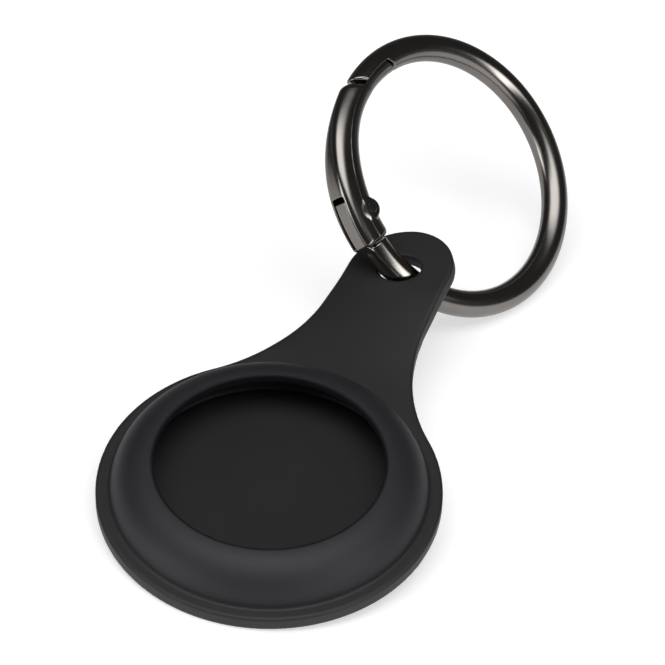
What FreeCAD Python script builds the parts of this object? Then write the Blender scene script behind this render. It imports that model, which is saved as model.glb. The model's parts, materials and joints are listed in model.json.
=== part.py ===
import FreeCAD, Part
import math
import os

# Tracker tag holder: a moulded silicone pocket with a tab, hung on a spring-gate ring.
# Millimetres and degrees, +Z up. The holder is drawn in its own frame, with its flat back on z = 0,
# the tag pocket round the Z axis and the tab along +Y. The ring is drawn flat in the XY plane.
# At the end everything is laid on the ground as it comes to rest.

V = FreeCAD.Vector

# Tag pocket
TAG_D = 31.9             # round tag that the pocket holds
TAG_ROOM = 0.15          # radial room round the tag
POCKET_WALL = 2.4        # silicone outside the tag's edge
RIM_LEDGE = 1.6          # flat flange outside the dome
SHEET_T = 1.7            # flange and tab
FLOOR_T = 1.2            # silicone under the tag
LIP_OVER = 2.7           # lip over the tag's edge, which stretches to let the tag in
LIP_T = 1.2              # lip at the mouth
MOUTH_H = 6.3            # top of the lip above the back
SHOULDER_H = 2.7         # rounded shoulder of the space under the lip

# Tab with its eye
EYE_ROOM = 2.27          # the eye's hole is this much wider than the ring's wire
EYE_SQUEEZE = 0.36       # the leaning wire pulls the hole oval, this much shorter along the tab each way
EYE_WALL = 3.99          # silicone beside the hole
NECK_R = 23.0            # hollow curve from the flange into the tab
TAB_REACH = 18.4         # flange edge to the eye's centre
FLAT_NECK = 0.5          # flat length beyond the flange, before the tab twists
FLAT_EYE = 3.0           # flat length before the eye's centre, after the twist
EYE_TWIST = 13.4         # the ring's weight twists the tab, right side up
TWIST_EASE = 1.5         # power by which the twist sets in along the tab
EYE_PITCH = 3.85         # the ring also tips the tab's end up
EYE_LIFT = 0.62          # and holds the eye off the ground
TWIST_SECTIONS = 7

# Spring-gate ring
RING_INNER_D = 29.65
WIRE_D = 3.35
EYE_PLAY = 0.2           # room left between the wire and the eye where the ring leans on it
EYE_PULL = 0.11          # the wire hangs beyond the eye's middle
RING_SLOPE = 4.4         # rise of the ring's centre line out of the eye
RING_YAW = 0.46          # its turn to the right of the tab's line

# Gate, by angles round the ring from where the wire passes the eye
PIN_AT = 31.9
TAIL_AT = 18.9           # end of the gate's tail
SHOULDER_AT = 17.0       # frame's shoulder beyond the tail
NOSE_AT = 93.9           # end of the frame's nose
TIP_AT = 109.4           # end of the gate's tongue under the nose
TAPER_FROM = 36.6
TAPER_TO = 83.4
TIP_SLIM = 0.32          # gate's tip thinner than the wire, across the ring's plane
TIP_RISE = 0.33          # gate's tip stands out beyond the wire
TAIL_RISE = 0.69         # gate's tail stands out further
TAIL_SINK = 0.48         # and further into the ring than the wire
TAIL_SQUARE = 4.0        # power of the tail's outer half as a superellipse, 2 being round
GATE_OPEN = 22.0         # travel of the gate, inwards
LAP_RISE = 0.1           # lap face outside the wire's centre line
LAP_GAP = 0.1
NOSE_GAP = 0.3           # gate's shoulder to the end of the nose
TIP_GAP = 0.15
BLANK_OVER = 1.5         # extra length of a blank that is cut back to its end
NOSE_ROOT = 5.0          # length past the gate's tip in which the recess for it runs out
GATE_SECTIONS = 11
OVAL_POINTS = 16

# Hinge
PIN_D = 1.1
PIN_INSET = 0.8          # pin's axis nearer the ring's middle than the wire's centre line
PIN_RUN = 0.04           # radial clearance of the pin in the gate
PIN_CROWN = 0.12         # rounded ends of the rivet, proud of the gate
CHEEK_T = 0.82           # gate each side of the frame's tongue
TONGUE_GAP = 0.12        # each side of the tongue
TONGUE_SINK = 0.25       # tongue's outer face below the tail's
TONGUE_END = 1.8         # from the pin to the end of the tongue
TONGUE_ROOT = 1.4        # length beyond the frame's shoulder in which the tongue runs out into the wire
TONGUE_DIP = 0.15        # depth of its ends inside the wire
SLOT_END = 2.45          # from the pin to the end of the slot
BOSS_WALL = 0.28         # tongue round the pin
WEB_GAP = 0.1            # tongue to the web that joins the gate's cheeks
KNUCKLE_R = 1.15         # round lobes of the gate's cheeks about the pin
KNUCKLE_PROUD = 0.1      # lobes beyond the cheeks' sides

# Return spring
SPRING_OFFSET = 2.85     # from the pin, towards the tail
SPRING_D = 1.0
SPRING_WIRE_D = 0.2
SPRING_PITCH = 0.66
SPRING_BORE_GAP = 0.1
BORE_WALL = 0.4          # tongue each side of the spring's bore
SPRING_SEAT = 0.1        # room at each end of the spring
TONGUE_ROOF = 0.7        # tongue left above the spring's bore
ARC_SAMPLES = 8          # points per arc when the spring's gap is measured

# Search for the tilt at which the object rests on the ground
STEEPEST_REST = 30.0
REST_HALVINGS = 40

# Worked out from the sizes above
CAVITY_R = TAG_D / 2 + TAG_ROOM
DOME_R = CAVITY_R + POCKET_WALL
FLANGE_R = DOME_R + RIM_LEDGE
MOUTH_R = CAVITY_R - LIP_OVER
HOLE_R = (WIRE_D + EYE_ROOM) / 2
HOLE_LONG = HOLE_R - EYE_SQUEEZE
TAB_HALF = HOLE_R + EYE_WALL
TWIST_FROM = FLANGE_R + FLAT_NECK
EYE_Y = FLANGE_R + TAB_REACH
NECK_X = TAB_HALF + NECK_R
NECK_Y = math.sqrt((FLANGE_R + NECK_R) ** 2 - NECK_X ** 2)
WIRE_R = WIRE_D / 2
RING_R = RING_INNER_D / 2 + WIRE_R
RING_OUTER = RING_R + WIRE_R
LAP_R = RING_R + LAP_RISE
PIN_R = PIN_D / 2
BOSS_R = PIN_R + BOSS_WALL
BORE_R = SPRING_D / 2 + SPRING_BORE_GAP
TONGUE_T = 2 * (BORE_R + BORE_WALL)
SLOT_T = TONGUE_T + 2 * TONGUE_GAP
GATE_D = SLOT_T + 2 * CHEEK_T
GATE_TIP_D = WIRE_D - TIP_SLIM
HINGE_OUTER = RING_OUTER + TAIL_RISE
HINGE_INNER = RING_R - WIRE_R - TAIL_SINK
PIN_RADIUS = RING_R - PIN_INSET
TONGUE_OUTER = HINGE_OUTER - TONGUE_SINK
TIP_OUTER = RING_OUTER + TIP_RISE
TIP_INNER = RING_R - WIRE_R
BIG = 4 * RING_R         # reach of cutting tools


def sin(deg):
    return math.sin(math.radians(deg))


def cos(deg):
    return math.cos(math.radians(deg))


def smooth(t):
    """Eases from 0 to 1 with level ends."""
    t = min(max(t, 0.0), 1.0)
    return t * t * (3 - 2 * t)


def polar(radius, angle, z=0.0):
    return V(radius * cos(angle), radius * sin(angle), z)


def upright(radius, at=V(), height=BIG):
    """Cylinder along Z, centred on z = 0."""
    return Part.makeCylinder(radius, height, at - V(0, 0, height / 2))


# Eye of the tab: origin, and its directions across, along and out of the sheet
EYE_MID = V(0, EYE_Y, SHEET_T / 2 + EYE_LIFT)
ALONG = V(0, cos(EYE_PITCH), sin(EYE_PITCH))
LIFTED = V(0, -sin(EYE_PITCH), cos(EYE_PITCH))
ACROSS = V(1, 0, 0) * cos(EYE_TWIST) + LIFTED * sin(EYE_TWIST)
OUT = LIFTED * cos(EYE_TWIST) - V(1, 0, 0) * sin(EYE_TWIST)

# Middle of the wire in the eye, and the ring's directions there
WIRE_AT = EYE_MID + ALONG * EYE_PULL
RING_ALONG = ALONG * cos(RING_YAW) + ACROSS * sin(RING_YAW)
RING_ACROSS = ACROSS * cos(RING_YAW) - ALONG * sin(RING_YAW)
CENTRE_LINE = RING_ALONG * cos(RING_SLOPE) + OUT * sin(RING_SLOPE)


def mirrored(point):
    """The same point on the tab's other side."""
    return V(-point.x, point.y, point.z)


def sheet_half_width(y):
    """Half the width of the neck and tab at a distance from the pocket's axis."""
    if y >= NECK_Y:
        return TAB_HALF
    return NECK_X - math.sqrt(NECK_R ** 2 - (NECK_Y - y) ** 2)


def flange_plate():
    """Round flange with the flat start of the neck."""
    share = FLANGE_R / (FLANGE_R + NECK_R)
    touch = V(NECK_X * share, NECK_Y * share, 0)
    end = V(sheet_half_width(TWIST_FROM), TWIST_FROM, 0)
    mid_y = (touch.y + end.y) / 2
    mid = V(sheet_half_width(mid_y), mid_y, 0)
    edges = [
        Part.Arc(mirrored(touch), V(0, -FLANGE_R, 0), touch).toShape(),
        Part.Arc(touch, mid, end).toShape(),
        Part.LineSegment(end, mirrored(end)).toShape(),
        Part.Arc(mirrored(end), mirrored(mid), mirrored(touch)).toShape(),
    ]
    return Part.Face(Part.Wire(edges)).extrude(V(0, 0, SHEET_T))


def sheet_section(middle, across, out, half_width):
    """Rectangle across the tab."""
    corners = [(-1, -1), (1, -1), (1, 1), (-1, 1), (-1, -1)]
    points = [middle + across * (half_width * a) + out * (SHEET_T / 2 * b) for a, b in corners]
    return Part.makePolygon(points)


def twisted_neck():
    """Length of tab that turns from the flange's plane into the eye's plane."""
    last = EYE_MID - ALONG * FLAT_EYE
    run = last.y - TWIST_FROM
    drop = last.z - SHEET_T / 2
    sections = []
    for i in range(TWIST_SECTIONS):
        t = i / (TWIST_SECTIONS - 1)
        y = TWIST_FROM + run * t
        # Cubic that leaves the flange level and arrives at the eye's pitch
        end_slope = math.tan(math.radians(EYE_PITCH))
        rise = drop * smooth(t) + run * end_slope * (t ** 3 - t ** 2)
        twist = EYE_TWIST * t ** TWIST_EASE
        pitch = EYE_PITCH * t ** 3
        lifted = V(0, -sin(pitch), cos(pitch))
        across = V(1, 0, 0) * cos(twist) + lifted * sin(twist)
        out = lifted * cos(twist) - V(1, 0, 0) * sin(twist)
        sections.append(sheet_section(V(0, y, SHEET_T / 2 + rise), across, out, sheet_half_width(y)))
    return Part.makeLoft(sections, True, False)


def eye_pad():
    """Flat end of the tab, round at the end."""
    low = OUT * (-SHEET_T / 2)
    start = EYE_MID - ALONG * FLAT_EYE
    side = ACROSS * TAB_HALF
    edges = [
        Part.LineSegment(start - side + low, start + side + low).toShape(),
        Part.LineSegment(start + side + low, EYE_MID + side + low).toShape(),
        Part.Arc(EYE_MID + side + low, EYE_MID + ALONG * TAB_HALF + low, EYE_MID - side + low).toShape(),
        Part.LineSegment(EYE_MID - side + low, start - side + low).toShape(),
    ]
    return Part.Face(Part.Wire(edges)).extrude(OUT * SHEET_T)


def revolved(edges):
    face = Part.Face(Part.Wire(edges))
    return face.revolve(V(), V(0, 0, 1), 360)


def crown_arc(top, base):
    """Arc of a profile in the XZ plane that leaves its top level and comes down to its base."""
    drop = top.z - base.z
    run = base.x - top.x
    radius = (drop ** 2 + run ** 2) / (2 * drop)
    centre = V(top.x, 0, top.z - radius)
    towards_middle = (top + base) * 0.5 - centre
    return Part.Arc(top, centre + towards_middle.normalize() * radius, base).toShape()


def dome():
    """Raised ring round the pocket: level at the mouth and steep at the flange."""
    top = V(MOUTH_R, 0, MOUTH_H)
    base = V(DOME_R, 0, SHEET_T)
    foot = V(DOME_R, 0, SHEET_T / 2)
    inner = V(MOUTH_R, 0, SHEET_T / 2)
    edges = [
        crown_arc(top, base),
        Part.LineSegment(base, foot).toShape(),
        Part.LineSegment(foot, inner).toShape(),
        Part.LineSegment(inner, top).toShape(),
    ]
    return revolved(edges)


def pocket():
    """Space for the tag, wider inside than at its mouth."""
    under_lip = MOUTH_H - LIP_T
    above = MOUTH_H + LIP_T
    lip_edge = V(MOUTH_R, 0, under_lip)
    shoulder = V(CAVITY_R, 0, under_lip - SHOULDER_H)
    points = [
        lip_edge,
        V(MOUTH_R, 0, above),
        V(0, 0, above),
        V(0, 0, FLOOR_T),
        V(CAVITY_R, 0, FLOOR_T),
        shoulder,
    ]
    edges = [Part.LineSegment(p, q).toShape() for p, q in zip(points, points[1:])]
    return revolved([crown_arc(lip_edge, shoulder)] + edges)


def holder():
    body = flange_plate().fuse([dome(), twisted_neck(), eye_pad()])
    body = body.cut(pocket())
    low = EYE_MID - OUT * SHEET_T
    oval = Part.Ellipse(low + ACROSS * HOLE_R, low + ALONG * HOLE_LONG, low)
    hole = Part.Face(Part.Wire(oval.toShape())).extrude(OUT * (2 * SHEET_T))
    return body.cut(hole).removeSplitter()


# Ring in its own plane: the wire passes the eye on +X, and the gate lies towards +Y
PIN = polar(PIN_RADIUS, PIN_AT)
RADIAL = polar(1, PIN_AT)
TANGENT = polar(1, PIN_AT + 90)
NOSE_END = (polar(RING_R, NOSE_AT) - PIN).Length
TIP_END = (polar(RING_R, TIP_AT) - PIN).Length
SHOULDER_REACH = PIN_RADIUS * math.tan(math.radians(PIN_AT - SHOULDER_AT))
SLOT_FLOOR = BOSS_R + WEB_GAP
OVER_ANGLE = math.degrees(BLANK_OVER / RING_R)
NOSE_FROM = NOSE_AT - OVER_ANGLE
NOSE_TO = TIP_AT + math.degrees(NOSE_ROOT / RING_R)


def at_pin(tangent, radial, z=0.0):
    """Point in the hinge's own directions."""
    return PIN + TANGENT * tangent + RADIAL * radial + V(0, 0, z)


def hinge_box(tangent, radial, half_z):
    """Box set square to the ring at the pin, from (low, high) pairs."""
    (back, front), (inner, outer) = tangent, radial
    corners = [(back, inner), (front, inner), (front, outer), (back, outer), (back, inner)]
    points = [at_pin(t, r, -half_z) for t, r in corners]
    return Part.Face(Part.makePolygon(points)).extrude(V(0, 0, 2 * half_z))


def wire_arc(start, end):
    """Round wire between two angles."""
    tube = Part.makeTorus(RING_R, WIRE_R, V(), V(0, 0, 1), 0, 360, end - start)
    tube.rotate(V(), V(0, 0, 1), start)
    return tube


def nose():
    """End of the frame, with its inner half cut away for the gate's tongue."""
    recess = upright(TIP_END + TIP_GAP, PIN).common(upright(LAP_R))
    return wire_arc(NOSE_FROM, NOSE_TO).cut(upright(NOSE_END, PIN)).cut(recess)


def tongue():
    """Flat tenon of the frame that the gate's cheeks straddle."""
    # The inner face slopes so that the gate's web meets it at the end of the travel
    slope_start = at_pin(-BOSS_R * sin(GATE_OPEN), -BOSS_R * cos(GATE_OPEN))
    reach = (SHOULDER_REACH + TONGUE_DIP) / cos(GATE_OPEN)
    slope_end = slope_start - (TANGENT * cos(GATE_OPEN) - RADIAL * sin(GATE_OPEN)) * reach
    # The outer face comes down from the shoulder until its edges are inside the wire
    root = SHOULDER_REACH + TONGUE_ROOT
    wire_back = RING_R + math.sqrt(WIRE_R ** 2 - (TONGUE_T / 2) ** 2) - TONGUE_DIP
    run_out = at_pin(-root, math.sqrt(wire_back ** 2 - root ** 2) - PIN_RADIUS)
    crest = at_pin(-SHOULDER_REACH, math.sqrt(TONGUE_OUTER ** 2 - SHOULDER_REACH ** 2) - PIN_RADIUS)
    points = [
        slope_start,
        at_pin(0, -BOSS_R),
        at_pin(TONGUE_END, -BOSS_R),
        at_pin(TONGUE_END, 2 * WIRE_D),
        crest * 3 - run_out * 2,
        run_out,
        slope_end,
        slope_start,
    ]
    outline = Part.Face(Part.makePolygon(points))
    blank = outline.extrude(V(0, 0, TONGUE_T))
    blank.translate(V(0, 0, -TONGUE_T / 2))
    rounded = blank.fuse(upright(BOSS_R, PIN, TONGUE_T))
    return rounded.common(upright(TONGUE_OUTER))


def spring_length():
    """From the web's floor to the top of the tongue's bore."""
    roof = TONGUE_OUTER - PIN_RADIUS - TONGUE_ROOF - SPRING_OFFSET ** 2 / (2 * RING_R)
    return SLOT_FLOOR + roof


def ring_frame():
    tube = wire_arc(NOSE_TO, 360 + SHOULDER_AT)
    bore = Part.makeCylinder(BORE_R, spring_length(), at_pin(-SPRING_OFFSET, -SLOT_FLOOR), RADIAL)
    body = tube.fuse([nose(), tongue()])
    return body.cut(upright(PIN_R, PIN)).cut(bore).removeSplitter()


def gate_section(angle):
    """Closed curve across the gate: square-shouldered at the tail, round and slim at the tip."""
    taper = smooth((angle - TAPER_FROM) / (TAPER_TO - TAPER_FROM))
    half_z = (GATE_D + (GATE_TIP_D - GATE_D) * taper) / 2
    outer = HINGE_OUTER + (TIP_OUTER - HINGE_OUTER) * taper
    inner = HINGE_INNER + (TIP_INNER - HINGE_INNER) * taper
    middle = RING_R + TIP_RISE / 2 * taper
    square = 2 / (TAIL_SQUARE + (2 - TAIL_SQUARE) * taper)
    points = []
    for i in range(OVAL_POINTS):
        turn = 360 * i / OVAL_POINTS
        if cos(turn) > 0:
            radius = middle + (outer - middle) * cos(turn) ** square
            z = math.copysign(abs(sin(turn)) ** square, sin(turn))
        else:
            radius = middle + (middle - inner) * cos(turn)
            z = sin(turn)
        points.append(polar(radius, angle, half_z * z))
    curve = Part.BSplineCurve()
    curve.interpolate(points, PeriodicFlag=True)
    return Part.Wire(curve.toShape())


def gate():
    end_at = TIP_AT + OVER_ANGLE
    step = (end_at - TAIL_AT) / (GATE_SECTIONS - 1)
    sections = [gate_section(TAIL_AT + step * i) for i in range(GATE_SECTIONS)]
    body = Part.makeLoft(sections, True, False)
    body = body.fuse(upright(KNUCKLE_R, PIN, GATE_D + 2 * KNUCKLE_PROUD))
    # Tip: a tongue that lies inside the frame's nose
    body = body.common(upright(TIP_END, PIN))
    above_lap = upright(BIG).cut(upright(LAP_R - LAP_GAP)).cut(upright(NOSE_END - NOSE_GAP, PIN))
    body = body.cut(above_lap)
    # Fork for the frame's tongue, with a web left on its inner side
    body = body.cut(hinge_box((-BIG, SLOT_END), (-SLOT_FLOOR, BIG), SLOT_T / 2))
    return body.cut(upright(PIN_R + PIN_RUN, PIN)).removeSplitter()


def hinge_pin():
    """Rivet with crowned ends."""
    half = GATE_D / 2 + KNUCKLE_PROUD
    crown = V(0, 0, half + PIN_CROWN)
    rim = V(PIN_R, 0, half)
    points = [rim, V(PIN_R, 0, 0), V(), crown]
    edges = [Part.LineSegment(p, q).toShape() for p, q in zip(points, points[1:])]
    upper = revolved([crown_arc(crown, rim)] + edges)
    body = upper.fuse(upper.mirror(V(), V(0, 0, 1))).removeSplitter()
    body.translate(PIN)
    return body


def biarc(p, tp, q, tq):
    """Two arcs that join p to q with the given unit tangents."""
    chord_v = q - p
    total = tp + tq
    a = 2 * (1 - tp.dot(tq))
    b = 2 * chord_v.dot(total)
    c = -chord_v.dot(chord_v)
    d = (-b + math.sqrt(b * b - 4 * a * c)) / (2 * a)
    join = (p + q + (tp - tq) * d) * 0.5
    edges = []
    for start, tangent, end in ((p, tp, join), (join, None, q)):
        if tangent is None:
            corner = q - tq * d
        else:
            corner = p + tp * d
        middle = (start + end) * 0.5
        half = (end - start).Length / 2
        height = (corner - middle).Length
        # Point of the arc halfway, from its tangents' corner
        sag = half * math.tan(math.atan2(height, half) / 2)
        edges.append(Part.Arc(start, middle + (corner - middle).normalize() * sag, end).toShape())
    return edges


def least_gap(edges, apart):
    """Least gap of the spring's wire to itself, between points at least so many samples apart."""
    points = []
    for edge in edges:
        span = edge.LastParameter - edge.FirstParameter
        points += [edge.valueAt(edge.FirstParameter + span * k / ARC_SAMPLES) for k in range(ARC_SAMPLES)]
    lengths = [(q - p).Length for i, p in enumerate(points) for q in points[i + apart:]]
    return min(lengths) - SPRING_WIRE_D


def gate_spring():
    """Coil spring between the gate's web and the bore in the frame's tongue."""
    mean_r = (SPRING_D - SPRING_WIRE_D) / 2
    height = spring_length() - 2 * SPRING_SEAT - SPRING_WIRE_D
    turns = height / SPRING_PITCH
    quarters = max(int(turns * 4), 2)
    turn = 360 * turns / quarters
    rise = height / quarters
    slope = math.atan2(rise, mean_r * math.radians(turn))

    def point(i):
        return polar(mean_r, i * turn, i * rise)

    def heading(i):
        return polar(math.cos(slope), i * turn + 90, math.sin(slope))

    edges = []
    for i in range(quarters):
        edges += biarc(point(i), heading(i), point(i + 1), heading(i + 1))
    path = Part.Wire(edges)
    section = Part.Wire(Part.makeCircle(SPRING_WIRE_D / 2, point(0), heading(0)))
    coil = path.makePipeShell([section], True, False)
    half_turn = round(len(edges) * ARC_SAMPLES / turns / 2)
    print("spring: %.2f turns, least gap to itself %.2f mm" % (turns, least_gap(edges, half_turn)))
    seat = at_pin(-SPRING_OFFSET, -SLOT_FLOOR + SPRING_SEAT + SPRING_WIRE_D / 2)
    coil.Placement = FreeCAD.Placement(seat, FreeCAD.Rotation(TANGENT, V(0, 0, 1), RADIAL, "ZXY"))
    return coil


def ring_lean():
    """Angle between the eye's axis and the wire where the ring leans on the hole's edges."""
    span = 2 * (HOLE_R - EYE_PLAY)
    return math.degrees(math.acos(WIRE_D / math.hypot(span, SHEET_T)) - math.atan2(SHEET_T, span))


def ring_placement():
    """Hangs the ring in the eye."""
    lean = ring_lean()
    square_up = OUT * cos(RING_SLOPE) - RING_ALONG * sin(RING_SLOPE)
    normal = RING_ACROSS * cos(lean) + square_up * sin(lean)
    towards_gate = normal.cross(CENTRE_LINE)
    turn = FreeCAD.Rotation(CENTRE_LINE * -1, towards_gate, normal * -1, "ZXY")
    return FreeCAD.Placement(WIRE_AT + CENTRE_LINE * RING_R, turn)


def rest_pitch():
    """Tilt, tab end up, at which the flange's edge and the ring's low side both touch the ground."""
    hang = ring_placement()
    normal = hang.Rotation.multVec(V(0, 0, 1))

    def ring_over_flange(pitch):
        up = V(0, sin(pitch), cos(pitch))
        ring_low = hang.Base.dot(up) - RING_R * math.sqrt(1 - normal.dot(up) ** 2) - WIRE_R
        return ring_low + FLANGE_R * sin(pitch)

    low, high = 0.0, STEEPEST_REST
    for _ in range(REST_HALVINGS):
        middle = (low + high) / 2
        if ring_over_flange(middle) < 0:
            low = middle
        else:
            high = middle
    return (low + high) / 2


def laid_down(shapes):
    """Sets the object on the ground, with the middle of its box over the origin."""
    tilted = FreeCAD.Placement(V(), FreeCAD.Rotation(V(1, 0, 0), rest_pitch()))
    for shape in shapes.values():
        shape.Placement = tilted * shape.Placement
    box = Part.makeCompound(list(shapes.values())).optimalBoundingBox(False, False)
    shift = V(-box.Center.x, -box.Center.y, -box.ZMin)
    for shape in shapes.values():
        shape.translate(shift)
    return FreeCAD.Placement(shift, tilted.Rotation)


PIECES = {
    "ring_frame": ring_frame,
    "gate": gate,
    "hinge_pin": hinge_pin,
    "gate_spring": gate_spring,
}


def main():
    hang = ring_placement()
    shapes = {"holder": holder()}
    for name, piece in PIECES.items():
        shapes[name] = piece()
        shapes[name].Placement = hang * shapes[name].Placement
    laid = laid_down(shapes)
    os.makedirs("parts", exist_ok=True)
    for name, shape in shapes.items():
        facts = (name, shape.isValid(), len(shape.Solids), shape.Volume)
        print("%s: valid %s, solids %d, volume %.1f mm3" % facts)
        shape.exportStep("parts/%s.step" % name)
    return laid


main()
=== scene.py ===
import json
import math

import bpy
import numpy as np
from mathutils import Matrix, Quaternion, Vector


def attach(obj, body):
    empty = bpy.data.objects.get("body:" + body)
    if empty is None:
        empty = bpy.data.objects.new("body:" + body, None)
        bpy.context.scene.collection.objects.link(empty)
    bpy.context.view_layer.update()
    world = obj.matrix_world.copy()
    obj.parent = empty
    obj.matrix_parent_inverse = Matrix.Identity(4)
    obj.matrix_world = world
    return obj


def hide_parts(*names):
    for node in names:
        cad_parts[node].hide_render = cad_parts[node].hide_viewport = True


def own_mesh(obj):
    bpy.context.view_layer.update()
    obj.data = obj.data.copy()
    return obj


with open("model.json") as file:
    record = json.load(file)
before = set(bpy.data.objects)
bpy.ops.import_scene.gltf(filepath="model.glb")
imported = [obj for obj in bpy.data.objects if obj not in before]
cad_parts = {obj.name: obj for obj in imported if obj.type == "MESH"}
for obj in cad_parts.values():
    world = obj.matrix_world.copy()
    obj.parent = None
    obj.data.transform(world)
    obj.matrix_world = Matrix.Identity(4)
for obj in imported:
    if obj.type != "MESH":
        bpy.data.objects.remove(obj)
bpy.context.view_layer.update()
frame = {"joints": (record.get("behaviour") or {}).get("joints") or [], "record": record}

# Looks of a tracker tag holder: a black silicone moulding on a gunmetal spring-gate ring.
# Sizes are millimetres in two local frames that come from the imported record: the holder's (flat back on
# z = 0, pocket round Z, tab along +Y) and the ring's (wire through the eye on +X, gate towards +Y).
# Each soft or cast form is a distance field, negative inside, that is turned into a quad mesh.

MM = 0.001
MOUNTS = {mount["name"]: mount for mount in frame["record"]["mounts"]}
JOINTS = {joint["name"]: joint for joint in frame["joints"]}

# Holder
CAVITY_R = MOUNTS["tag_pocket"]["dims"]["r_mm"]
POCKET_WALL = 2.4
RIM_LEDGE = 1.6
SHEET_T = 1.7
FLOOR_T = 1.2
LIP_OVER = 2.7           # lip's reach inwards over the pocket
LIP_T = 1.2
MOUTH_H = 6.3
SHOULDER_H = 2.7         # rounding of the pocket's wall under the lip
EYE_ROOM = 2.27
EYE_SQUEEZE = 0.36       # the eye is an oval, this much less in its half length than its half width
EYE_CLOSE = 0.3          # the soft eye's near edge closes up to the wire by twice this
EYE_WALL = 3.99
NECK_R = 23.0
TAB_REACH = 18.4
FLAT_NECK = 0.5          # flat lengths before and after the tab's twist
FLAT_EYE = 3.0
EYE_TWIST = 13.4
TWIST_EASE = 1.5
TWIST_END = 0.2          # share of the twist in which it levels out at the eye
EYE_PITCH = 3.85
EYE_LIFT = 0.62

# Ring and gate, with angles round the ring from where the wire passes the eye
WIRE_D = MOUNTS["ring_loop"]["dims"]["length_mm"]
RING_INNER_R = MOUNTS["ring_loop"]["dims"]["r_mm"]
PIN_AT = 31.9
TAIL_AT = 18.1           # gate's end at the hinge
SHOULDER_AT = 17.2       # frame's end at the hinge
NOSE_AT = 93.9           # frame's end at the nose
TIP_AT = 109.4           # end of the gate's tongue, under the nose
TAPER_FROM = 36.6
TAPER_TO = 83.4
TIP_SLIM = 0.32
TIP_RISE = 0.33
TAIL_RISE = 0.69
TAIL_SINK = 0.48
HEEL_SWELL = 0.22        # rounded swelling of the tail's inner side, behind the pin
HEEL_FROM = 25.0
HEEL_TO = 36.0
TAIL_SQUARE = 4.0        # power of the tail's square-shouldered outer side
TIP_ROUND = 2.0          # power of a plain oval
GATE_OPEN = 22.0
LAP_RISE = 0.1
LAP_GAP = 0.04
NOSE_GAP = 0.3
TIP_GAP = 0.08
PIN_D = 1.1
PIN_INSET = 0.8
PIN_RUN = 0.01
PIN_CROWN = 0.04
PIN_HEAD = 0.15          # rivet's flush head wider than its hole
CHEEK_T = 0.82
TONGUE_GAP = 0.12
TONGUE_SINK = 0.25
TONGUE_END = 1.95
TONGUE_ROOT = 1.4
TONGUE_DIP = 0.15
TONGUE_ROOF = 0.7
SLOT_END = 2.62
BOSS_WALL = 0.28
WEB_GAP = 0.1
KNUCKLE_R = 1.25
KNUCKLE_PROUD = 0.1
SPRING_OFFSET = 2.85
SPRING_D = 1.0
SPRING_WIRE_D = 0.2
SPRING_PITCH = 0.66
SPRING_BORE_GAP = 0.1
SPRING_SEAT = 0.1
BORE_WALL = 0.4

# Rounding of edges
SHEET_EDGE = 0.25
EYE_EDGE = 0.12
LIP_EDGE = 0.12
DOME_FOOT = 0.12         # fillet where the dome meets the flange
FLOOR_EDGE = 0.1         # foot of the pocket's wall
CAST_EDGE = 0.16         # most edges of the castings
LAP_EDGE = 0.03          # nose's recess and the tongue in it
NOSE_EDGE = 0.42         # frame's end at the nose
SHOULDER_EDGE = 0.14     # frame's end at the hinge
ARM_EDGE = 0.9           # gate's end at the nose
TIP_EDGE = 0.45          # end of the gate's tongue
TAIL_EDGE = 0.6          # gate's end at the hinge
KNUCKLE_EDGE = 0.3
KNUCKLE_FILLET = 0.45
SLOT_CORNER = 0.45

# Meshing: grid steps, and room round each piece
HOLDER_STEP = 0.26
HOLDER_MARGIN = 0.6
RING_STEP = 0.1
RING_MARGIN = 0.5
GATE_STEP = 0.08
GATE_MARGIN = 0.4
SLOPE_REACH = 0.02       # share of a step over which a field's slope is taken
LEAST_SLOPE = 0.05       # square of the slope that a field has at least, for moving points
LEAST_SHARE = 0.01       # keeps an oval's field finite at its middle

# Finish: tints and ranges are pairs that a noise, or a mask, passes between
SILICONE_TINTS = (0.0075, 0.0075, 0.0078), (0.0098, 0.0098, 0.0101)
# the dome's bluer tints are a painted sheen
DOME_SHEEN_TINTS = (0.0071, 0.0068, 0.0104), (0.0090, 0.0087, 0.0127)
SILICONE_ROUGHNESS = (0.52, 0.64)
SILICONE_SHEEN = (0.53, 0.37)     # outside, and lower in the pocket as painted shade in the recess
PAINTED_SHADE_SHEEN = (1.0, 0.3)           # share of the sheen that is left on the lip's edge and the pocket's wall, as painted shade
LIP_SHADE_REACH = 0.3           # reach of the lip's painted shade round its edges
WALL_SHADE_REACH = 0.6          # reach of the wall's painted shade over the pocket's floor
MASK_BLEND = 0.15      # half the width in which one of the silicone's masks of painted sheen and shade passes into the next
GUNMETAL_TINTS = (0.212, 0.199, 0.187), (0.242, 0.227, 0.213)
GUNMETAL_ROUGHNESS = (0.14, 0.22)
SPRING_TINTS = (0.5, 0.5, 0.5), (0.62, 0.62, 0.61)
SPRING_ROUGHNESS = (0.2, 0.32)
NOISE_DARK = 0.3         # values of a noise at which it reaches its tints
NOISE_LIGHT = 0.7

# Camera, fitted to the outlines in the 665 pixel square picture
PICTURE = 665.0
FOCAL_PIXELS = 4000.0
DISC_PIXEL = (269.16, 496.63)
DISC_DISTANCE = 464.17
CAMERA_AZIMUTH = 22.7
CAMERA_ELEVATION = 45.85
CAMERA_ROLL = 1.49
SENSOR_MM = 36.0
CLIP_NEAR = 0.01

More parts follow.
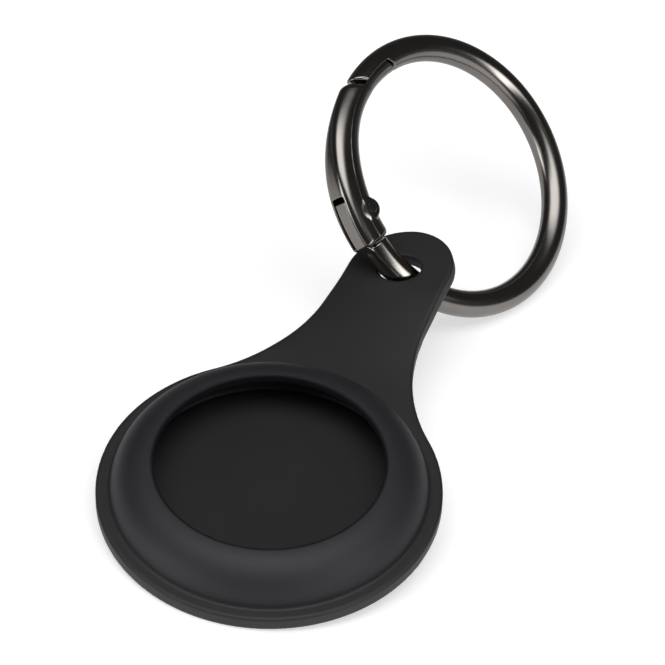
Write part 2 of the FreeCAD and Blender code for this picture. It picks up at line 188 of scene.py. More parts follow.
# Stage and light, in metres
WHITE = (1, 1, 1, 1)
FLOOR_HALF = 3.0
FLOOR_ROUGHNESS = 0.9
FLOOR_GLOW = 0.55        # part of the floor's white that the object doesn't shade
FLOOR_SHADE = 0.6        # the floor's colour, which the object shades
TABLE_MIDDLE = (0.04, -0.06, 0.0)
TABLE_WHITE = 0.04       # distances from there between which the floor gets dark, as metal mirrors it
TABLE_DARK = 0.24
WORLD_FILL = 0.12        # even light from all round
STUDIO_DARK = 0.05       # the studio above the horizon, as metal mirrors it
HORIZON_PALE = -0.3      # heights of a mirrored direction between which the pale horizon ends
HORIZON_DARK = 0.15
SOFT_EDGE = 0.35         # share of a panel in which its light fades out, at each edge
PANEL_MIDDLE = 0.5

# Worked out
FLANGE_R = CAVITY_R + POCKET_WALL + RIM_LEDGE
DOME_R = CAVITY_R + POCKET_WALL
MOUTH_R = CAVITY_R - LIP_OVER
WIRE_R = WIRE_D / 2
RING_R = RING_INNER_R + WIRE_R
RING_OUTER = RING_R + WIRE_R
HOLE_R = (WIRE_D + EYE_ROOM) / 2
HOLE_LONG = HOLE_R - EYE_SQUEEZE
TAB_HALF = HOLE_R + EYE_WALL
EYE_Y = FLANGE_R + TAB_REACH
TWIST_FROM = FLANGE_R + FLAT_NECK
TWIST_TO = EYE_Y - FLAT_EYE * math.cos(math.radians(EYE_PITCH))
EYE_FLAT_Y = TWIST_TO + FLAT_EYE
NECK_X = TAB_HALF + NECK_R
NECK_Y = math.sqrt((FLANGE_R + NECK_R) ** 2 - NECK_X ** 2)
PIN_R = PIN_D / 2
BOSS_R = PIN_R + BOSS_WALL
BORE_R = SPRING_D / 2 + SPRING_BORE_GAP
TONGUE_T = 2 * (BORE_R + BORE_WALL)
SLOT_T = TONGUE_T + 2 * TONGUE_GAP
SLOT_FLOOR = BOSS_R + WEB_GAP
GATE_D = SLOT_T + 2 * CHEEK_T
GATE_TIP_D = WIRE_D - TIP_SLIM
KNUCKLE_SIDE = GATE_D / 2 + KNUCKLE_PROUD
HINGE_OUTER = RING_OUTER + TAIL_RISE
HINGE_INNER = RING_R - WIRE_R - TAIL_SINK
TONGUE_OUTER = HINGE_OUTER - TONGUE_SINK
TIP_OUTER = RING_OUTER + TIP_RISE
TIP_INNER = RING_R - WIRE_R
PIN_RADIUS = RING_R - PIN_INSET
SHOULDER_REACH = PIN_RADIUS * math.tan(math.radians(PIN_AT - SHOULDER_AT))
LAP_R = RING_R + LAP_RISE
GAP_MIDDLE = (SHOULDER_AT + NOSE_AT) / 2
SPRING_LENGTH = (SLOT_FLOOR + TONGUE_OUTER - PIN_RADIUS - TONGUE_ROOF
                 - SPRING_OFFSET ** 2 / (2 * RING_R))


def local_frame(origin, x, z):
    """Matrix from local millimetres to the shared frame's metres."""
    x, z = Vector(x).normalized(), Vector(z).normalized()
    y = z.cross(x).normalized()
    turn = Matrix((y.cross(z), y, z)).transposed().to_4x4()
    return Matrix.Translation(origin) @ turn @ Matrix.Scale(MM, 4)


def ring_polar(radius, degrees):
    """Point in the ring's plane."""
    turn = math.radians(degrees)
    return np.array([radius * math.cos(turn), radius * math.sin(turn), 0.0])


HOLDER = local_frame(MOUNTS["back_face"]["pos_m"], (1, 0, 0), MOUNTS["tag_pocket"]["axis"])
RING = local_frame(
    MOUNTS["ring_loop"]["pos_m"], -Vector(JOINTS["ring_swing"]["axis"]), JOINTS["gate_hinge"]["axis"])
PIN = ring_polar(PIN_RADIUS, PIN_AT)
RADIAL = ring_polar(1, PIN_AT)
TANGENT = ring_polar(1, PIN_AT + 90)
NOSE_END = np.linalg.norm(ring_polar(RING_R, NOSE_AT) - PIN)
TIP_END = np.linalg.norm(ring_polar(RING_R, TIP_AT) - PIN)


# Distance fields
def both(a, b, edge=0.0):
    """Inside a and b, with their common edge rounded."""
    if edge == 0.0:
        return np.maximum(a, b)
    return np.minimum(-edge, np.maximum(a, b)) + np.hypot(np.maximum(a + edge, 0), np.maximum(b + edge, 0))


def either(a, b, hollow=0.0):
    """Inside a or b, with a fillet between them."""
    return -both(-a, -b, hollow)


def without(a, b, edge=0.0):
    """Inside a and outside b."""
    return both(a, -b, edge)


def smooth(t):
    """Eases from 0 to 1."""
    t = np.clip(t, 0.0, 1.0)
    return t * t * (3 - 2 * t)


def sheet_outline(x, y):
    """Flange, neck and tab seen from above."""
    side = np.abs(x)
    disc = np.hypot(x, y) - FLANGE_R
    tab = np.where(y > EYE_FLAT_Y, np.hypot(x, y - EYE_FLAT_Y), side) - TAB_HALF
    neck = NECK_R - np.hypot(side - NECK_X, y - NECK_Y)
    beyond_touch = NECK_X * y - NECK_Y * side > 0
    in_neck = beyond_touch & (y < NECK_Y) & (side < NECK_X)
    return np.where(in_neck, neck, np.where(y >= NECK_Y, tab, disc))


def oval(x, y, half_x, half_y):
    """Ellipse of two half widths."""
    share = np.hypot(x / half_x, y / half_y)
    steep = np.hypot(x / half_x ** 2, y / half_y ** 2)
    return share * (share - 1) / np.maximum(steep, LEAST_SHARE)


def holder_field(p):
    """The silicone moulding before its tab is twisted."""
    x, y, z = p.T
    radius = np.hypot(x, y)
    sheet = both(sheet_outline(x, y), np.abs(z - SHEET_T / 2) - SHEET_T / 2, SHEET_EDGE)
    eye = oval(x, y - EYE_FLAT_Y - EYE_CLOSE, HOLE_R, HOLE_LONG - EYE_CLOSE)
    sheet = without(sheet, eye, EYE_EDGE)
    past_mouth = np.maximum(radius - MOUTH_R, 0)
    rise = MOUTH_H - SHEET_T
    crown_r = (rise ** 2 + (DOME_R - MOUTH_R) ** 2) / (2 * rise)
    dome = np.hypot(past_mouth, z - (MOUTH_H - crown_r)) - crown_r
    dome = both(dome, SHEET_T / 2 - z)
    body = either(sheet, dome, DOME_FOOT)
    shoulder_z = MOUTH_H - LIP_T - SHOULDER_H
    cavity = np.hypot(past_mouth, np.maximum(z - shoulder_z, 0)) - SHOULDER_H
    cavity = both(cavity, FLOOR_T - z, FLOOR_EDGE)
    mouth = both(radius - MOUTH_R, shoulder_z - z)
    return without(body, either(cavity, mouth), LIP_EDGE)


def twist_share(t):
    """Share of the twist along the tab: it sets in slowly and levels out at the eye."""
    share = np.maximum(t, 0) ** TWIST_EASE
    mix = np.clip(0.5 + (1 - share) / (2 * TWIST_END), 0, 1)
    return 1 + (share - 1) * mix - TWIST_END * mix * (1 - mix)


def twisted(p):
    """Bends the flat tab into the way it hangs: twisted, and lifted at its end."""
    x, y, z = p.T
    run = TWIST_TO - TWIST_FROM
    past_flat = (y - TWIST_FROM) / run
    t = np.clip(past_flat, 0, 1)
    slope = math.tan(math.radians(EYE_PITCH))
    eye_rise = EYE_LIFT - FLAT_EYE * math.sin(math.radians(EYE_PITCH))
    rise = eye_rise * smooth(t) + run * slope * (t ** 3 - t ** 2)
    twist = np.radians(EYE_TWIST) * twist_share(past_flat)
    pitch = np.radians(EYE_PITCH) * t ** 3
    past = np.maximum(y - TWIST_TO, 0)
    height = z - SHEET_T / 2
    lifted = x * np.sin(twist) + height * np.cos(twist)
    return np.stack([
        x * np.cos(twist) - height * np.sin(twist),
        np.minimum(y, TWIST_TO) + past * np.cos(pitch) - lifted * np.sin(pitch),
        SHEET_T / 2 + rise + past * np.sin(pitch) + lifted * np.cos(pitch),
    ], -1)


def past_angle(p, degrees):
    """Distance beyond a plane through the ring's axis."""
    return p @ ring_polar(1, degrees + 90)


def pin_places(p):
    """Places along the ring and outwards from the pin, and distance from its axis."""
    along = (p - PIN) @ TANGENT
    outward = (p - PIN) @ RADIAL
    return along, outward, np.hypot(along, outward)


def tongue_field(p):
    """Flat tenon of the frame between the gate's cheeks."""
    along, outward, _ = pin_places(p)
    opened = math.radians(GATE_OPEN)
    inner = both(-outward - BOSS_R, -along * math.sin(opened) - outward * math.cos(opened) - BOSS_R)
    face = both(inner, np.hypot(p[:, 0], p[:, 1]) - TONGUE_OUTER, CAST_EDGE)
    face = both(face, along - TONGUE_END, CAST_EDGE)
    # The outer face comes down from the shoulder into the wire
    root = SHOULDER_REACH + TONGUE_ROOT
    wire_back = RING_R + math.sqrt(WIRE_R ** 2 - (TONGUE_T / 2) ** 2) - TONGUE_DIP
    low = math.sqrt(wire_back ** 2 - root ** 2) - PIN_RADIUS
    high = math.sqrt(TONGUE_OUTER ** 2 - SHOULDER_REACH ** 2) - PIN_RADIUS
    slant = math.atan2(high - low, TONGUE_ROOT)
    face = both(face, (outward - low) * math.cos(slant) - (along + root) * math.sin(slant), CAST_EDGE)
    return both(face, np.abs(p[:, 2]) - TONGUE_T / 2, CAST_EDGE)


def ring_field(p):
    """Cast C of the ring, with the nose's lap and the hinge tongue."""
    along, outward, from_pin = pin_places(p)
    radius = np.hypot(p[:, 0], p[:, 1])
    wire = np.hypot(radius - RING_R, p[:, 2]) - WIRE_R
    gap = both(from_pin - NOSE_END, -past_angle(p, SHOULDER_AT))
    at_nose = past_angle(p, GAP_MIDDLE) > 0
    body = np.where(at_nose, without(wire, gap, NOSE_EDGE), without(wire, gap, SHOULDER_EDGE))
    recess = both(both(from_pin - TIP_END - TIP_GAP, radius - LAP_R), -along)
    body = without(body, recess, LAP_EDGE)
    body = either(body, tongue_field(p), CAST_EDGE)
    bore = both(np.hypot(along + SPRING_OFFSET, p[:, 2]) - BORE_R, outward + SLOT_FLOOR - SPRING_LENGTH)
    bore = both(bore, -outward - WIRE_D)
    return without(without(body, from_pin - PIN_R), bore)


def gate_bar(p):
    """Arm of the gate: square-shouldered at the tail, round and slim at the tip."""
    x, y, z = p.T
    angle = np.degrees(np.arctan2(y, x))
    taper = smooth((angle - TAPER_FROM) / (TAPER_TO - TAPER_FROM))
    heel = HEEL_SWELL * smooth((HEEL_TO - angle) / (HEEL_TO - HEEL_FROM))
    half_z = (GATE_D + (GATE_TIP_D - GATE_D) * taper) / 2
    outer = HINGE_OUTER + (TIP_OUTER - HINGE_OUTER) * taper
    inner = HINGE_INNER + (TIP_INNER - HINGE_INNER) * taper - heel
    middle = RING_R + TIP_RISE / 2 * taper
    across = np.hypot(x, y) - middle
    half_radial = np.where(across > 0, outer - middle, middle - inner)
    power = np.where(across > 0, TAIL_SQUARE + (TIP_ROUND - TAIL_SQUARE) * taper, TIP_ROUND)
    a, b = np.abs(across) / half_radial, np.abs(z) / half_z
    share = np.maximum((a ** power + b ** power) ** (1 / power), LEAST_SHARE)
    steep = share ** (1 - power) * np.hypot(a ** (power - 1) / half_radial, b ** (power - 1) / half_z)
    return (share - 1) / np.maximum(steep, LEAST_SHARE)


def gate_field(p):
    """Sprung arm with a forked tail, round lobes about the pin and a tongue under the nose."""
    along, outward, from_pin = pin_places(p)
    side = np.abs(p[:, 2])
    radius = np.hypot(p[:, 0], p[:, 1])
    bar = both(gate_bar(p), -past_angle(p, TAIL_AT), TAIL_EDGE)
    lobes = both(from_pin - KNUCKLE_R, side - KNUCKLE_SIDE, KNUCKLE_EDGE)
    bar = both(either(bar, lobes, KNUCKLE_FILLET), side - KNUCKLE_SIDE, CAST_EDGE)
    arm = both(bar, from_pin - (NOSE_END - NOSE_GAP), ARM_EDGE)
    lap = both(both(bar, from_pin - TIP_END, TIP_EDGE), radius - (LAP_R - LAP_GAP), LAP_EDGE)
    body = either(arm, lap, CAST_EDGE)
    slot = both(both(side - SLOT_T / 2, along - SLOT_END, SLOT_CORNER), -SLOT_FLOOR - outward)
    return without(without(body, slot, CAST_EDGE), from_pin - PIN_R - PIN_RUN)


# Meshing
CORNERS = np.array([(i, j, k) for i in (0, 1) for j in (0, 1) for k in (0, 1)])
EDGES = [(a, b) for a in range(8) for b in range(a + 1, 8) if np.abs(CORNERS[a] - CORNERS[b]).sum() == 1]


def settled(field, p, step, rounds=4):
    """Moves points along the field's slope on to its surface."""
    reach = SLOPE_REACH * step
    for _ in range(rounds):
        slope = np.stack([
            (field(p + reach * axis) - field(p - reach * axis)) / (2 * reach) for axis in np.eye(3)], -1)
        size = np.maximum((slope ** 2).sum(-1), LEAST_SLOPE)
        move = slope * (field(p) / size)[:, None]
        p = p - np.clip(move, -step, step)
    return p


def field_quads(field, low, high, step):
    """Points and quads on the surface of a distance field inside a box."""
    axes = [np.arange(a, b + step, step) for a, b in zip(low, high)]
    shape = tuple(len(axis) for axis in axes)
    value = np.empty(shape)
    plane = np.stack(np.meshgrid(axes[1], axes[2], indexing="ij"), -1).reshape(-1, 2)
    for i, x in enumerate(axes[0]):
        points = np.column_stack([np.full(len(plane), x), plane])
        value[i] = field(points).reshape(shape[1:])
    inside = value < 0
    # One point in each cell that the surface crosses, at the mean of where it cuts the cell's edges
    cells = tuple(n - 1 for n in shape)
    count = np.zeros(cells, int)
    for corner in CORNERS:
        count += inside[tuple(slice(c, c + n) for c, n in zip(corner, cells))]
    crossed = np.argwhere((count > 0) & (count < 8))
    number = np.full(cells, -1)
    number[tuple(crossed.T)] = np.arange(len(crossed))
    at_corner = np.stack([value[tuple((crossed + corner).T)] for corner in CORNERS], -1)
    total = np.zeros((len(crossed), 3))
    hits = np.zeros(len(crossed))
    for a, b in EDGES:
        cut = (at_corner[:, a] < 0) != (at_corner[:, b] < 0)
        share = np.where(cut, at_corner[:, a] / np.where(cut, at_corner[:, a] - at_corner[:, b], 1), 0)
        total += cut[:, None] * (CORNERS[a] + share[:, None] * (CORNERS[b] - CORNERS[a]))
        hits += cut
    points = np.array(low) + (crossed + total / hits[:, None]) * step
    # One quad round each grid edge that the surface cuts, turned outwards
    quads = []
    for axis in range(3):
        u, v = (axis + 1) % 3, (axis + 2) % 3
        ahead = np.eye(3, dtype=int)[axis]
        here = inside[tuple(slice(0, n - a) for n, a in zip(shape, ahead))]
        there = inside[tuple(slice(a, n) for n, a in zip(shape, ahead))]
        spots = np.argwhere(here != there)
        clear_u = (spots[:, u] > 0) & (spots[:, u] < cells[u])
        clear_v = (spots[:, v] > 0) & (spots[:, v] < cells[v])
        spots = spots[clear_u & clear_v]
        out = here[tuple(spots.T)]
        du, dv = np.eye(3, dtype=int)[u], np.eye(3, dtype=int)[v]
        ring = np.stack([number[tuple((spots - back).T)] for back in (du + dv, dv, 0 * du, du)], -1)
        quads.append(np.where(out[:, None], ring, ring[:, ::-1]))
    return points, np.concatenate(quads)


def evened(field, points, quads, step, rounds=3):
    """Slides points towards the middle of their neighbours, and back on to the surface."""
    a = quads.ravel()
    b = np.roll(quads, -1, 1).ravel()
    for _ in range(rounds):
        total = np.zeros_like(points)
        hits = np.zeros(len(points))
        for p, q in ((a, b), (b, a)):
            np.add.at(total, p, points[q])
            np.add.at(hits, p, 1)
        points = settled(field, (points + total / hits[:, None]) / 2, step, rounds=2)
    return points


def add_mesh(name, points, faces, place, material, body, nodes):
    """Piece of the object, from local millimetres, that rides on a body and stands for CAD nodes."""
    mesh = bpy.data.meshes.new(name)
    world = points @ np.array(place.to_3x3()).T + np.array(place.translation)
    mesh.from_pydata(world.tolist(), [], faces)
    mesh.materials.append(material)
    mesh.shade_smooth()
    piece = bpy.data.objects.new(name, mesh)
    bpy.context.scene.collection.objects.link(piece)
    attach(piece, body)
    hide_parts(*nodes)
    return piece


def field_piece(name, field, low, high, step, place, material, body, nodes, bend=None):
    """Piece of the object from a distance field in a box, bent after it is meshed."""
    points, quads = field_quads(field, low, high, step)
    points = evened(field, settled(field, points, step), quads, step)
    if bend:
        points = bend(points)
    return add_mesh(name, points, quads.tolist(), place, material, body, nodes)


# Materials
class Tree:
    """Nodes of a material, a lamp or the world; a value is a constant or another node's output."""

    # Sockets of a Mix node for each kind of data: share, first, second, and the output
    MIX_SOCKETS = {"FLOAT": (0, 2, 3, 0), "RGBA": (0, 6, 7, 2)}

    def __init__(self, owner):
        owner.use_nodes = True
        self.nodes = owner.node_tree.nodes
        self.links = owner.node_tree.links

    def feed(self, socket, value):
        """Links an output to a socket, or sets the socket to a constant."""
        if isinstance(value, bpy.types.NodeSocket):
            self.links.new(value, socket)
        else:
            socket.default_value = value

    def feed_node(self, name, inputs):
        """Feeds named inputs of a node that the tree starts with."""
        for socket, value in inputs.items():
            self.feed(self.nodes[name].inputs[socket], value)

    def source(self, kind, output):
        """Output of a new node that needs no inputs."""
        return self.nodes.new(kind).outputs[output]

    def split(self, vector):
        """X, Y and Z of a vector."""
        made = self.nodes.new("ShaderNodeSeparateXYZ")
        self.feed(made.inputs[0], vector)
        return made.outputs

    def math(self, operation, a, b):
        """Operation on two values."""
        made = self.nodes.new("ShaderNodeMath")
        made.operation = operation
        self.feed(made.inputs[0], a)
        self.feed(made.inputs[1], b)
        return made.outputs[0]

    def vector_math(self, operation, result, *vectors):
        """Operation on one or two vectors."""
        made = self.nodes.new("ShaderNodeVectorMath")
        made.operation = operation
        for socket, vector in zip(made.inputs, vectors):
            self.feed(socket, vector)
        return made.outputs[result]

    def mapped(self, value, start, end, eased=False):
        """Maps one range on to another, and keeps to its ends beyond it."""
        made = self.nodes.new("ShaderNodeMapRange")
        if eased:
            made.interpolation_type = "SMOOTHSTEP"
        for socket, limit in zip(("From Min", "From Max", "To Min", "To Max"), (*start, *end)):
            made.inputs[socket].default_value = limit
        self.feed(made.inputs["Value"], value)
        return made.outputs["Result"]

    def spread(self, value, end):
        """Maps 0 to 1 on to a range."""
        return self.mapped(value, (0.0, 1.0), end)

    def above(self, length, limit):
        """0 where a length is less than a limit in millimetres, 1 where it is more."""
        return self.mapped(length, ((limit - MASK_BLEND) * MM, (limit + MASK_BLEND) * MM), (0.0, 1.0))

    def below(self, length, limit):
        """1 where a length is less than a limit in millimetres, 0 where it is more."""
        return self.spread(self.above(length, limit), (1.0, 0.0))

    def mixed(self, share, first, second, kind="FLOAT"):
        """Passes from one value to another as the share goes from 0 to 1."""
        made = self.nodes.new("ShaderNodeMix")
        made.data_type = kind
        *inputs, output = self.MIX_SOCKETS[kind]
        for socket, value in zip(inputs, (share, first, second)):
            self.feed(made.inputs[socket], value)
        return made.outputs[output]

    def noise(self, scale, detail, roughness=0.5):
        """Noise in the object's own metres."""
        made = self.nodes.new("ShaderNodeTexNoise")
        made.inputs["Scale"].default_value = scale
        made.inputs["Detail"].default_value = detail
        made.inputs["Roughness"].default_value = roughness
        self.feed(made.inputs["Vector"], self.source("ShaderNodeTexCoord", "Object"))
        return made.outputs["Fac"]

    def tint(self, value, tints):
        """Colour of a noise between two tints."""
        made = self.nodes.new("ShaderNodeValToRGB")
        for stop, position, colour in zip(made.color_ramp.elements, (NOISE_DARK, NOISE_LIGHT), tints):
            stop.position = position
            stop.color = (*colour, 1)
        self.feed(made.inputs["Fac"], value)
        return made.outputs["Color"]

    def bump(self, height, depth, strength):
        """Normal of a surface roughened by a noise."""
        made = self.nodes.new("ShaderNodeBump")
        made.inputs["Distance"].default_value = depth
        made.inputs["Strength"].default_value = strength
        self.feed(made.inputs["Height"], height)
        return made.outputs["Normal"]

    def looked_at(self):
        """1 for camera, glossy and transmission rays, which see the plain background."""
        path = self.nodes.new("ShaderNodeLightPath").outputs
        mirrored = self.math("MAXIMUM", path["Is Camera Ray"], path["Is Glossy Ray"])
        return self.math("MAXIMUM", mirrored, path["Is Transmission Ray"])


def silicone_material():
    """Matte black silicone with a blasted mould's grain, less sheen in the pocket and least on its wall
    and the lip's edge, which is painted shade, and a painted bluish sheen in the dome's colour.
    """
    material = bpy.data.materials.new("black_silicone")
    tree = Tree(material)
    axis = tuple(HOLDER.to_3x3().col[2].normalized())
    place = tree.source("ShaderNodeTexCoord", "Object")
    from_back = tree.vector_math("SUBTRACT", "Vector", place, tuple(HOLDER.translation))
    height = tree.vector_math("DOT_PRODUCT", "Value", from_back, axis)
    sideways = tree.vector_math("CROSS_PRODUCT", "Vector", from_back, axis)
    radius = tree.vector_math("LENGTH", "Value", sideways)
    under_lip = MOUTH_H - LIP_T
    # Painted shade: the sheen drops in the pocket, and further on its wall and on the lip's edge, where it
    # also takes away the edge's highlight
    pocket = tree.math("MULTIPLY", tree.below(radius, CAVITY_R), tree.below(height, under_lip))
    # Painted bluish sheen: the dome's colour is a cooler tint than the rest
    dome = tree.math("MULTIPLY", tree.below(radius, DOME_R), tree.above(height, SHEET_T + MASK_BLEND))
    near_mouth = tree.below(radius, MOUTH_R + LIP_SHADE_REACH)
    lip = tree.math("MULTIPLY", near_mouth, tree.above(height, under_lip - LIP_SHADE_REACH))
    wall = tree.math("MULTIPLY", pocket, tree.above(radius, CAVITY_R - WALL_SHADE_REACH))
    painted_shade = tree.math("MAXIMUM", lip, wall)
    cloud = tree.noise(scale=90.0, detail=3.0)
    grain = tree.noise(scale=5200.0, detail=2.0, roughness=0.6)
    plain, cool_sheen = tree.tint(cloud, SILICONE_TINTS), tree.tint(cloud, DOME_SHEEN_TINTS)
    sheen = tree.math("MULTIPLY", tree.spread(pocket, SILICONE_SHEEN), tree.spread(painted_shade, PAINTED_SHADE_SHEEN))
    tree.feed_node("Principled BSDF", {
        "Base Color": tree.mixed(dome, plain, cool_sheen, "RGBA"),
        "Specular IOR Level": sheen,
        "Roughness": tree.spread(cloud, SILICONE_ROUGHNESS),
        "Normal": tree.bump(grain, depth=0.02 * MM, strength=0.35),
    })
    return material


def gunmetal_material():
    """Polished dark plating on a die casting, with faint flow marks under it."""
    material = bpy.data.materials.new("polished_gunmetal")
    tree = Tree(material)
    cloud = tree.noise(scale=160.0, detail=4.0)
    flow = tree.noise(scale=700.0, detail=2.0)
    tree.feed_node("Principled BSDF", {
        "Metallic": 1.0,
        "Base Color": tree.tint(cloud, GUNMETAL_TINTS),
        "Roughness": tree.spread(cloud, GUNMETAL_ROUGHNESS),
        "Normal": tree.bump(flow, depth=0.03 * MM, strength=0.12),
    })
    return material


def spring_material():
    """Bright drawn wire."""
    material = bpy.data.materials.new("spring_wire")
    tree = Tree(material)
    streak = tree.noise(scale=2500.0, detail=2.0)
    tree.feed_node("Principled BSDF", {
        "Metallic": 1.0,
        "Base Color": tree.tint(streak, SPRING_TINTS),
        "Roughness": tree.spread(streak, SPRING_ROUGHNESS),
    })
    return material


SILICONE = silicone_material()
GUNMETAL = gunmetal_material()
SPRING_STEEL = spring_material()


# Pieces
def make_holder():
    """Silicone moulding."""
    side = FLANGE_R + HOLDER_MARGIN
    low = (-side, -side, -HOLDER_MARGIN)
    high = (side, EYE_FLAT_Y + TAB_HALF + HOLDER_MARGIN, MOUTH_H + HOLDER_MARGIN)
    field_piece("holder_moulding", holder_field, low, high, HOLDER_STEP, HOLDER, SILICONE, "holder",
                ["holder"], twisted)


def make_ring():
    """Cast frame of the ring."""
    reach = TONGUE_OUTER + RING_MARGIN
    side = WIRE_R + RING_MARGIN
    low, high = (-reach, -reach, -side), (reach, reach, side)
    field_piece("ring_casting", ring_field, low, high, RING_STEP, RING, GUNMETAL, "ring",
                ["ring_frame"])


def make_gate():
    """Cast gate of the ring."""
    side = KNUCKLE_SIDE + GATE_MARGIN
    reach = HINGE_OUTER + GATE_MARGIN
    low_x = ring_polar(RING_OUTER, TIP_AT)[0] - GATE_MARGIN
    low_y = ring_polar(HINGE_INNER, TAIL_AT)[1] - GATE_MARGIN
    low, high = (low_x, low_y, -side), (reach, reach, side)
    field_piece("gate_casting", gate_field, low, high, GATE_STEP, RING, GUNMETAL, "gate",
                ["gate"])


def make_rivet(turns=48, crown_rings=6):
    """Round pin with low crowned heads."""
    head_r = PIN_R + PIN_HEAD
    crown_r = (head_r ** 2 + PIN_CROWN ** 2) / (2 * PIN_CROWN)
    profile = [(0.0, KNUCKLE_SIDE + PIN_CROWN)]
    for i in range(1, crown_rings + 1):
        r = head_r * i / crown_rings
        profile.append((r, KNUCKLE_SIDE + PIN_CROWN - crown_r + math.sqrt(crown_r ** 2 - r ** 2)))
    profile.append((PIN_R, KNUCKLE_SIDE - PIN_CROWN))
    profile += [(r, -z) for r, z in reversed(profile)]
    points, faces, starts = [], [], []
    for r, z in profile:
        starts.append(len(points))
        for k in range(1 if r == 0.0 else turns):
            spin = 2 * math.pi * k / turns
            points.append(PIN + np.array([r * math.cos(spin), r * math.sin(spin), z]))
    for (r, _), (next_r, _), a, b in zip(profile, profile[1:], starts, starts[1:]):
        for k in range(turns):
            n = (k + 1) % turns
            if r == 0.0:
                faces.append([a, b + k, b + n])
            elif next_r == 0.0:
                faces.append([a + k, b, a + n])
            else:
                faces.append([a + k, b + k, b + n, a + n])
    add_mesh("hinge_rivet", np.array(points), faces, RING, GUNMETAL, "ring", ["hinge_pin"])


def make_spring(per_turn=32, sides=12):
    """Coil in the hinge tongue's bore, on the web that joins the gate's cheeks."""
    mean_r = (SPRING_D - SPRING_WIRE_D) / 2
    wire_r = SPRING_WIRE_D / 2
    height = SPRING_LENGTH - 2 * SPRING_SEAT - SPRING_WIRE_D
    turns = height / SPRING_PITCH
    count = int(turns * per_turn)
    across = np.array([0.0, 0.0, 1.0])
    climb = RADIAL * (SPRING_PITCH / (2 * math.pi))
    seat = PIN - TANGENT * SPRING_OFFSET + RADIAL * (SPRING_SEAT + wire_r - SLOT_FLOOR)
    points, faces = [], []
    for i in range(count + 1):
        turn = 2 * math.pi * turns * i / count
        arm = TANGENT * math.cos(turn) + across * math.sin(turn)
        heading = (across * math.cos(turn) - TANGENT * math.sin(turn)) * mean_r + climb
        side = np.cross(heading / np.linalg.norm(heading), arm)
        middle = seat + arm * mean_r + RADIAL * (height * i / count)
        for k in range(sides):
            spin = 2 * math.pi * k / sides
            points.append(middle + (arm * math.cos(spin) + side * math.sin(spin)) * wire_r)
    for i in range(count):
        for k in range(sides):
            a, b = i * sides + k, i * sides + (k + 1) % sides
            faces.append([a, b, b + sides, a + sides])
    faces.append(list(range(sides))[::-1])
    faces.append(list(range(count * sides, (count + 1) * sides)))
    coil = add_mesh("gate_coil_spring", np.array(points), faces, RING, SPRING_STEEL, "ring",
                    ["gate_spring"])
    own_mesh(coil)


make_holder()
make_ring()
make_gate()
make_rivet()
make_spring()


# Stage
def make_floor():
    """Pale floor, white in the picture apart from the object's faint shadow."""
    mesh = bpy.data.meshes.new("floor")
    half = FLOOR_HALF
    corners = [(-half, -half, 0), (half, -half, 0), (half, half, 0), (-half, half, 0)]
    mesh.from_pydata(corners, [], [(0, 1, 2, 3)])
    floor = bpy.data.objects.new("floor", mesh)
    bpy.context.scene.collection.objects.link(floor)
    material = bpy.data.materials.new("pale_floor")
    tree = Tree(material)
    # Metal sees the floor's white end in the dark studio round it
    place = tree.source("ShaderNodeNewGeometry", "Position")
    away = tree.vector_math("DISTANCE", "Value", place, TABLE_MIDDLE)
    fade = tree.mapped(away, (TABLE_WHITE, TABLE_DARK), (1.0, STUDIO_DARK), eased=True)
    seen = tree.mixed(tree.source("ShaderNodeLightPath", "Is Glossy Ray"), 1.0, fade)
    tree.feed_node("Principled BSDF", {
        "Base Color": tree.spread(seen, (0.0, FLOOR_SHADE)),
        "Roughness": FLOOR_ROUGHNESS,
        "Specular IOR Level": 0.0,
        "Emission Color": WHITE,
        "Emission Strength": tree.math("MULTIPLY", tree.spread(tree.looked_at(), (0.0, FLOOR_GLOW)), seen),
    })
    mesh.materials.append(material)


def make_world():
    """White to the camera; mirrors see it pale at the horizon under a dark studio; a low even fill."""
    world = bpy.data.worlds.new("studio")
    tree = Tree(world)
    height = tree.split(tree.source("ShaderNodeTexCoord", "Generated"))["Z"]
    pale = tree.mapped(height, (HORIZON_PALE, HORIZON_DARK), (1.0, STUDIO_DARK), eased=True)
    shown = tree.mixed(tree.source("ShaderNodeLightPath", "Is Camera Ray"), pale, 1.0)
    tree.feed_node("Background", {
        "Color": WHITE,
        "Strength": tree.mixed(tree.looked_at(), WORLD_FILL, shown),
    })
    bpy.context.scene.world = world


def fade_edges(lamp):
    """Lets a panel's light fade out towards its edges."""
    tree = Tree(lamp)
    place = tree.split(tree.source("ShaderNodeNewGeometry", "Parametric"))
    shares = []
    for axis in ("X", "Y"):
        from_edge = tree.math("PINGPONG", place[axis], PANEL_MIDDLE)
        shares.append(tree.mapped(from_edge, (0.0, SOFT_EDGE), (0.0, 1.0), eased=True))
    tree.feed_node("Emission", {"Strength": tree.math("MULTIPLY", *shares)})


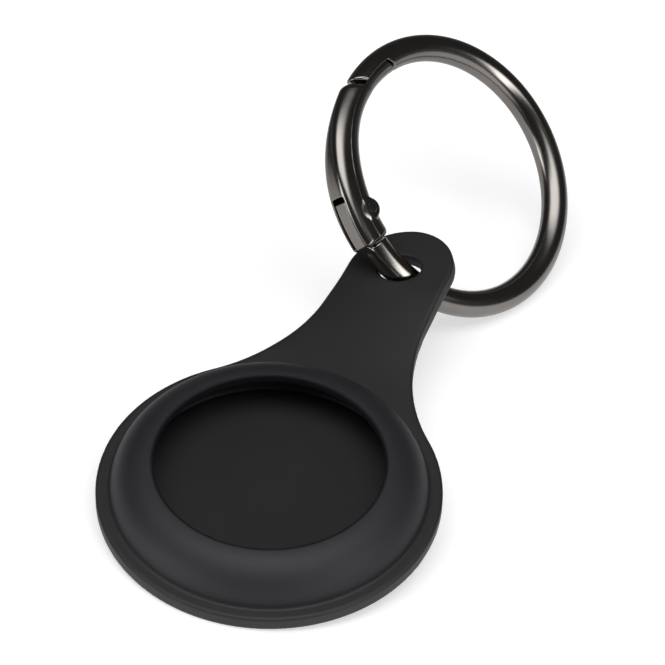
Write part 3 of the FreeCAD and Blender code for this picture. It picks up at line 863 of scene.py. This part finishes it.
def add_softbox(name, place, size, glow, spin=0.0, level=False):
    """Soft-edged panel of a given size at half its brightness, spun in its own plane.

    It faces the object, or lies level over it.
    """
    lamp = bpy.data.lights.new(name, "AREA")
    lamp.shape = "RECTANGLE"
    lamp.size, lamp.size_y = (side / (1 - SOFT_EDGE) for side in size)
    lamp.energy = glow * math.pi * lamp.size * lamp.size_y
    fade_edges(lamp)
    box = bpy.data.objects.new(name, lamp)
    box.location = place
    facing = Vector((0, 0, -1)) if level else -Vector(place)
    turn = facing.to_track_quat("-Z", "Y") @ Quaternion((0, 0, 1), math.radians(spin))
    box.rotation_euler = turn.to_euler()
    bpy.context.scene.collection.objects.link(box)


def make_camera():
    """Camera that sees the middle of the flange's back at its pixel, from its distance."""
    azimuth, elevation = math.radians(CAMERA_AZIMUTH), math.radians(CAMERA_ELEVATION)
    roll = math.radians(CAMERA_ROLL)
    back = Vector((math.sin(azimuth) * math.cos(elevation), -math.cos(azimuth) * math.cos(elevation),
                   math.sin(elevation)))
    level = Vector((math.cos(azimuth), math.sin(azimuth), 0))
    upright = back.cross(level)
    right = level * math.cos(roll) + upright * math.sin(roll)
    up = upright * math.cos(roll) - level * math.sin(roll)
    half = PICTURE / 2
    ray_x, ray_y = (DISC_PIXEL[0] - half) / FOCAL_PIXELS, (half - DISC_PIXEL[1]) / FOCAL_PIXELS
    ray = Vector((ray_x, ray_y, -1)).normalized() * DISC_DISTANCE
    eye = -(right * ray.x + up * ray.y + back * ray.z)
    turn = HOLDER.to_3x3().normalized() @ Matrix((right, up, back)).transposed()
    camera = bpy.data.cameras.new("camera")
    camera.sensor_width = SENSOR_MM
    camera.lens = SENSOR_MM * FOCAL_PIXELS / PICTURE
    camera.clip_start = CLIP_NEAR
    view = bpy.data.objects.new("camera", camera)
    view.matrix_world = Matrix.Translation(HOLDER @ eye) @ turn.to_4x4()
    bpy.context.scene.collection.objects.link(view)
    bpy.context.scene.camera = view


make_floor()
make_world()
add_softbox("overhead", place=(0.0, -0.165, 0.7), size=(0.96, 0.52), glow=3.1, spin=12.0, level=True)
add_softbox("right_strip", place=(0.70, -0.20, 0.31), size=(0.64, 0.14), glow=6.2, spin=24.0)
add_softbox("left_panel", place=(-0.47, -0.60, 0.12), size=(0.40, 0.30), glow=3.8)
make_camera()
bpy.context.scene.view_settings.view_transform = "Standard"
